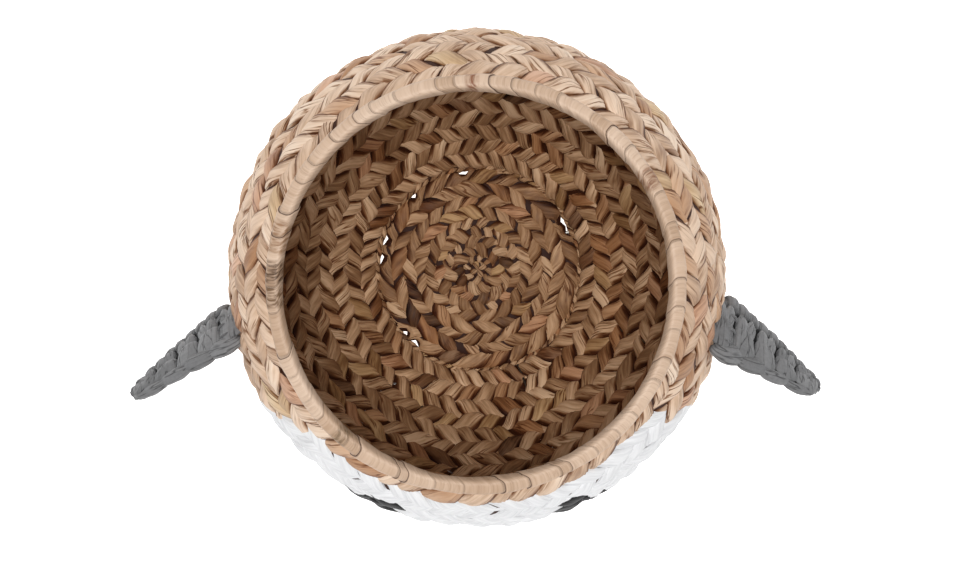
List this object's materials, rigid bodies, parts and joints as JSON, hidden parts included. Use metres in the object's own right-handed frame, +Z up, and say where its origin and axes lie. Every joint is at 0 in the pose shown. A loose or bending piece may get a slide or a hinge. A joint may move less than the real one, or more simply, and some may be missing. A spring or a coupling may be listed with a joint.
{
  "type": "storage basket",
  "caption": "Round belly storage basket woven from flat plant leaves over a wire frame, open at the top, with a painted front and a soft crocheted ear on each side.",
  "frame": {"origin": "middle of the flat base, on the floor", "axes": "+Z up out of the mouth, -Y out of the painted front, +X out through the right ear as seen in the picture taken from above with the front at the bottom"},
  "size_m": [0.528, 0.389, 0.3],
  "materials": {
    "wall_leaf": "dried flat plant leaf, satin, fibrous; painted matt white over the front, with two black patches",
    "base_leaf": "the same dried leaf, darker inside",
    "rim_strip": "flat leaf strips wound tightly, smooth satin",
    "steel_wire": "dull drawn wire",
    "ear_yarn": "thick grey jersey yarn, crocheted"
  },
  "bodies": {
    "basket": {"base_cross": "base_leaf", "base_ring_01": "base_leaf", "base_ring_02": "base_leaf", "base_ring_03": "base_leaf", "base_hoop": "steel_wire", "wall_band_01": "wall_leaf", "wall_band_02": "wall_leaf", "wall_band_03": "wall_leaf", "wall_band_04": "wall_leaf", "wall_band_05": "wall_leaf", "wall_band_06": "wall_leaf", "wall_band_07": "wall_leaf", "wall_band_08": "wall_leaf", "wall_band_09": "wall_leaf", "wall_band_10": "wall_leaf", "rim_hoop": "steel_wire", "rim_wrap": "rim_strip", "spoke_01": "steel_wire", "upright_01": "steel_wire", "spoke_02": "steel_wire", "upright_02": "steel_wire", "spoke_03": "steel_wire", "upright_03": "steel_wire", "spoke_04": "steel_wire", "upright_04": "steel_wire", "spoke_05": "steel_wire", "upright_05": "steel_wire", "spoke_06": "steel_wire", "upright_06": "steel_wire", "spoke_07": "steel_wire", "upright_07": "steel_wire", "spoke_08": "steel_wire", "upright_08": "steel_wire"},
    "left_ear": {"left_ear": "ear_yarn"},
    "right_ear": {"right_ear": "ear_yarn"}
  },
  "joints": [
    {"name": "left_ear_flop", "type": "hinge", "parent": "basket", "child": "left_ear", "pos_m": [-0.19148, -0.03722, 0.22437], "axis": [0.3089, -0.4024, 0.8618], "range_deg": [-40, 50], "stiffness_Nm_per_rad": 0.3},
    {"name": "right_ear_flop", "type": "hinge", "parent": "basket", "child": "right_ear", "pos_m": [0.19148, -0.03722, 0.22437], "axis": [0.3126, 0.634, -0.7073], "range_deg": [-40, 50], "stiffness_Nm_per_rad": 0.3}
  ]
}
